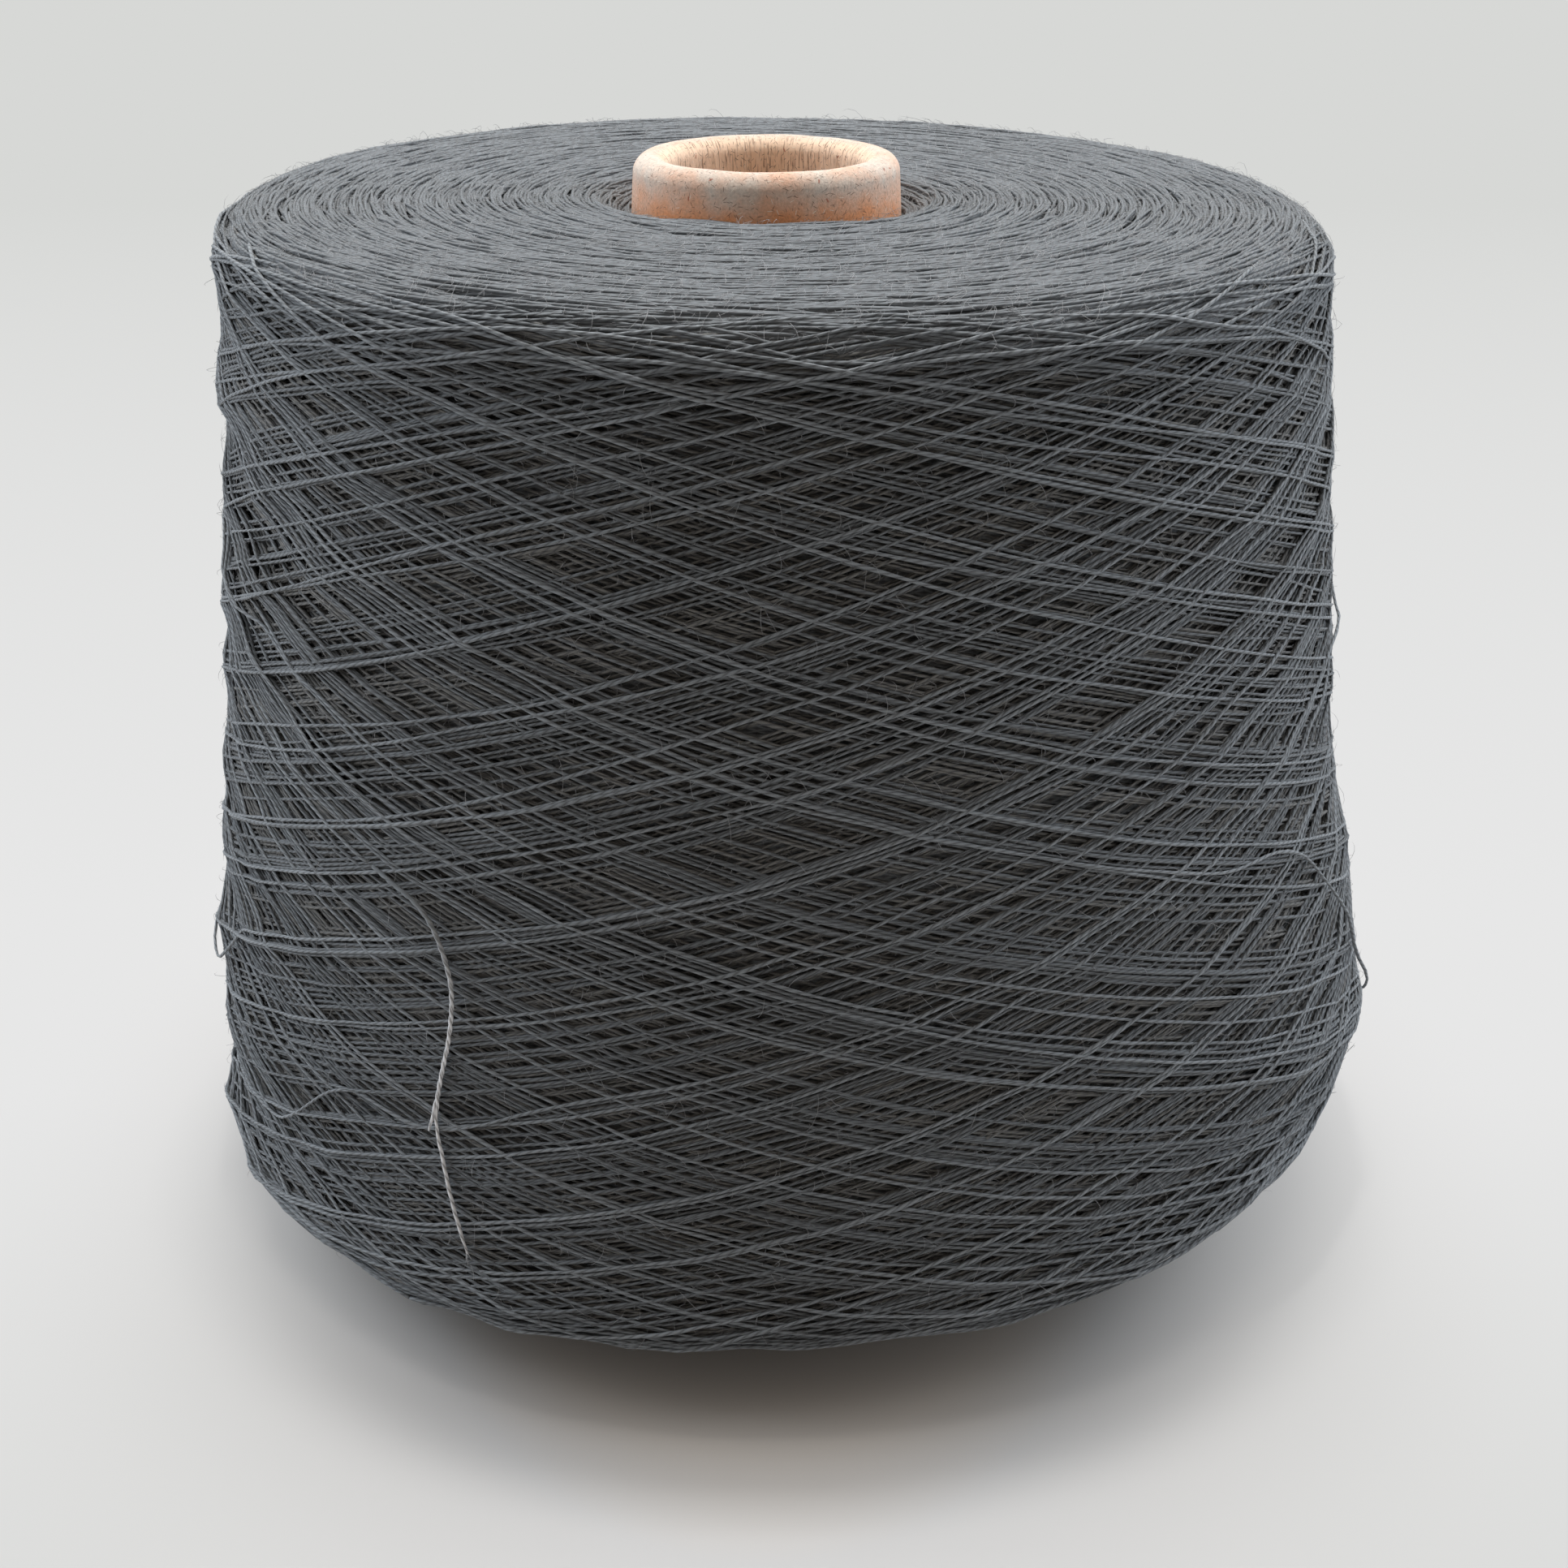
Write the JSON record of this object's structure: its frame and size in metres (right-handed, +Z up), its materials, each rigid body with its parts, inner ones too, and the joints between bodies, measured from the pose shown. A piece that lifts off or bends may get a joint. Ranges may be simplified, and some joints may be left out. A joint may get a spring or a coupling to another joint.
{
  "type": "cone of yarn",
  "caption": "Large cone of grey two-ply sewing and knitting yarn, cross-wound on a plain paper cone, with its outer end hanging loose.",
  "frame": {"origin": "centre of the paper cone's base rim, on the surface that the cone stands on", "axes": "+Z up the cone's own axis, from its wide base to its rolled nose. -Y is the side on which the yarn's outer end hangs, in front and to the left of centre"},
  "size_m": [0.1954, 0.1952, 0.17],
  "materials": {
    "paper": "matt recycled kraft paper board, speckled with dark and light fibres",
    "yarn": "hairy two-ply spun yarn, mid grey"
  },
  "bodies": {
    "root": {"paper_cone": "paper", "yarn_package": "yarn", "outer_winding": "yarn", "yarn_tail": "yarn"}
  },
  "joints": []
}
